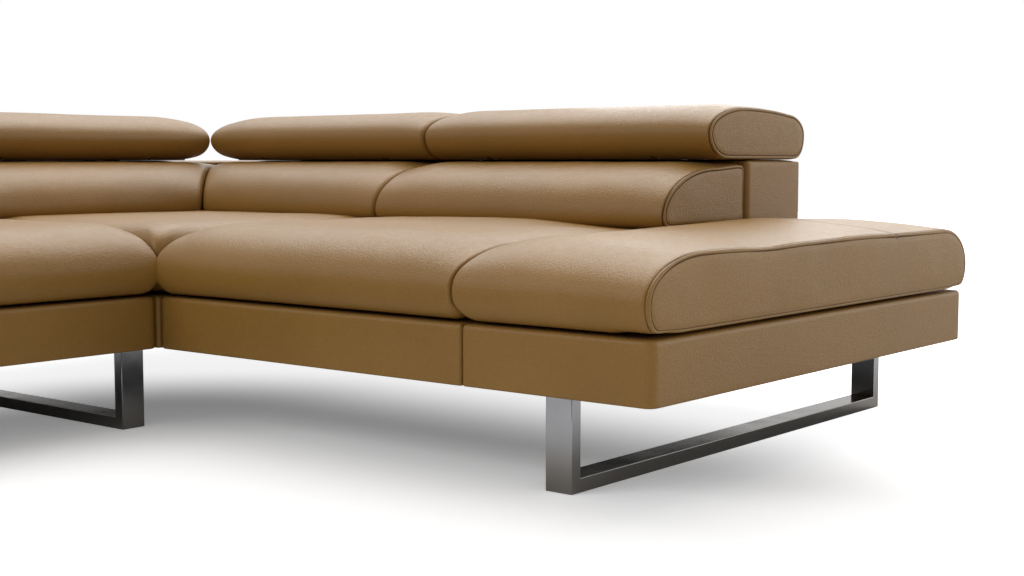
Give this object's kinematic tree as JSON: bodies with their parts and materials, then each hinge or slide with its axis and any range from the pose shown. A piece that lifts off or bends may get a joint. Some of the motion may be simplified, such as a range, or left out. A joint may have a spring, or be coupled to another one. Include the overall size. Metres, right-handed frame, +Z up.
{
  "type": "sectional sofa",
  "caption": "L-shaped leather corner sofa with open ends, polished sled legs and tilting headrests.",
  "frame": {"origin": "on the floor, under the middle of the whole sofa's box in plan", "axes": "+X along the right wing towards its open end, +Y from that wing's front to its back, +Z up; the left wing runs along -Y from the corner"},
  "size_m": [2.657, 2.657, 0.73],
  "materials": {
    "leather": "satin",
    "wood": "matte",
    "webbing": "matte",
    "dust_cloth": "matte",
    "polished_steel": "polished",
    "glide_plastic": "matte",
    "bright_pin": "satin",
    "plain_steel": "satin"
  },
  "bodies": {
    "root": {"base_panels_end_right": "leather", "base_panels_seat_right": "leather", "base_panels_corner": "leather", "base_panels_seat_left": "leather", "base_panels_end_left": "leather", "base_frame_end_right": "wood", "base_frame_seat_right": "wood", "base_frame_corner": "wood", "base_frame_seat_left": "wood", "base_frame_end_left": "wood", "seat_webbing": "webbing", "dust_covers": "dust_cloth", "seat_cushion_end_right": "leather", "seat_cushion_right": "leather", "seat_cushion_corner": "leather", "seat_cushion_left": "leather", "seat_cushion_end_left": "leather", "back_panels_right": "leather", "back_panels_corner_right": "leather", "back_panels_left": "leather", "back_panels_corner_left": "leather", "back_frame_right": "wood", "back_frame_corner_right": "wood", "back_frame_left": "wood", "back_frame_corner_left": "wood", "back_cushion_right": "leather", "back_cushion_corner_right": "leather", "back_cushion_left": "leather", "back_cushion_corner_left": "leather", "hinge_arms_right": "plain_steel", "hinge_arms_corner_right": "plain_steel", "hinge_arms_left": "plain_steel", "hinge_arms_corner_left": "plain_steel", "sled_leg_right": "polished_steel", "sled_leg_middle": "polished_steel", "sled_leg_left": "polished_steel", "leg_plates": "plain_steel", "support_legs": "polished_steel", "support_leg_glides": "glide_plastic", "leg_bolts": "plain_steel", "module_bolts": "plain_steel", "back_bolts": "plain_steel"},
    "headrest_right": {"headrest_cushion_right": "leather", "headrest_board_right": "wood", "hinge_brackets_right": "plain_steel", "hinge_pins_right": "bright_pin"},
    "headrest_corner_right": {"headrest_cushion_corner_right": "leather", "headrest_board_corner_right": "wood", "hinge_brackets_corner_right": "plain_steel", "hinge_pins_corner_right": "bright_pin"},
    "headrest_left": {"headrest_cushion_left": "leather", "headrest_board_left": "wood", "hinge_brackets_left": "plain_steel", "hinge_pins_left": "bright_pin"},
    "headrest_corner_left": {"headrest_cushion_corner_left": "leather", "headrest_board_corner_left": "wood", "hinge_brackets_corner_left": "plain_steel", "hinge_pins_corner_left": "bright_pin"}
  },
  "joints": [
    {"name": "headrest_right_tilt", "type": "hinge", "parent": "root", "child": "headrest_right", "pos_m": [0.449, 0.9425, 0.661], "axis": [1, 0, 0], "range_deg": [0, 75]},
    {"name": "headrest_corner_right_tilt", "type": "hinge", "parent": "root", "child": "headrest_corner_right", "pos_m": [-0.443, 0.9425, 0.661], "axis": [1, 0, 0], "range_deg": [0, 75]},
    {"name": "headrest_left_tilt", "type": "hinge", "parent": "root", "child": "headrest_left", "pos_m": [-0.9425, -0.449, 0.661], "axis": [0, 1, 0], "range_deg": [0, 75]},
    {"name": "headrest_corner_left_tilt", "type": "hinge", "parent": "root", "child": "headrest_corner_left", "pos_m": [-0.9425, 0.443, 0.661], "axis": [0, 1, 0], "range_deg": [0, 75]}
  ]
}
